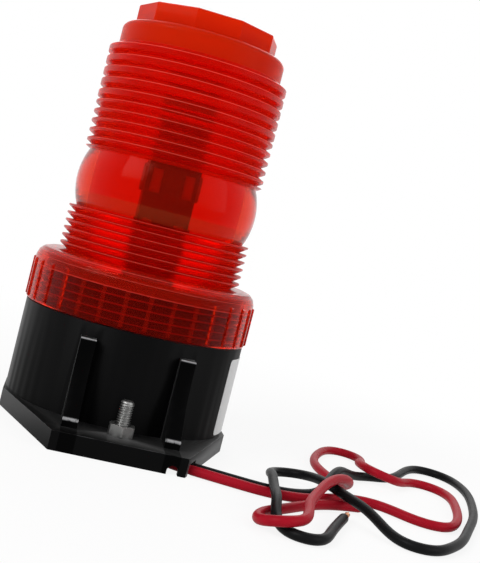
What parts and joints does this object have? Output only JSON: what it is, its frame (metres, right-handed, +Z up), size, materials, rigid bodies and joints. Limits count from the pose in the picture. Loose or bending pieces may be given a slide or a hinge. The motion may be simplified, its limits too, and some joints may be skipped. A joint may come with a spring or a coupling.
{
  "type": "strobe beacon",
  "caption": "Small round warning beacon: ribbed clear red lens screwed on to a black flanged base, LED tower inside, two loose supply wires.",
  "frame": {"origin": "centre of the base's underside, on the lens's axis", "axes": "+Z up along the lens's axis; the front edge with its screw faces -Y; the wires leave to +X and -Y"},
  "size_m": [0.1614, 0.1433, 0.1292],
  "materials": {
    "black_plastic": "satin moulded black plastic",
    "red_lens": "clear red moulded plastic, glossy",
    "seal_rubber": "matt black rubber",
    "screw_steel": "zinc-plated steel",
    "board_laminate": "dark green solder mask",
    "led_package": "cream package with a yellow phosphor window",
    "component_black": "moulded component body",
    "ferrite": "dark sintered ferrite",
    "capacitor_sleeve": "dark shrunk sleeve",
    "red_insulation": "soft red insulation",
    "black_insulation": "soft black insulation",
    "copper": "bare stranded copper"
  },
  "bodies": {
    "base": {"base_housing": "black_plastic", "bottom_cover": "black_plastic", "cover_screws": "screw_steel", "circuit_board": "board_laminate", "board_screws": "screw_steel", "led_board_front": "board_laminate", "led_board_back": "board_laminate", "led_board_left": "board_laminate", "led_board_right": "board_laminate", "tower_cap": "board_laminate", "leds": "led_package", "driver_chip": "component_black", "power_inductor": "ferrite", "smoothing_capacitor": "capacitor_sleeve", "polarity_diode": "component_black", "chip_resistors": "component_black", "mounting_screws": "screw_steel", "mounting_nuts": "screw_steel", "red_lead": "red_insulation", "black_lead": "black_insulation", "red_wire": "red_insulation", "black_wire": "black_insulation", "red_wire_end": "copper", "black_wire_end": "copper"},
    "seal": {"seal_ring": "seal_rubber"},
    "lens": {"lens": "red_lens"}
  },
  "joints": [
    {"name": "lens_turn", "type": "hinge", "parent": "base", "child": "seal", "pos_m": [0, 0, 0.04], "axis": [0, 0, 1], "range_deg": [0, 1800]},
    {"name": "lens_lift", "type": "slide", "parent": "seal", "child": "lens", "axis": [0, 0, 1], "range_m": [0, 0.012]}
  ],
  "couplings": [
    {"joint": "lens_lift", "follows": "lens_turn", "m_per_rad": 0.00038197}
  ]
}
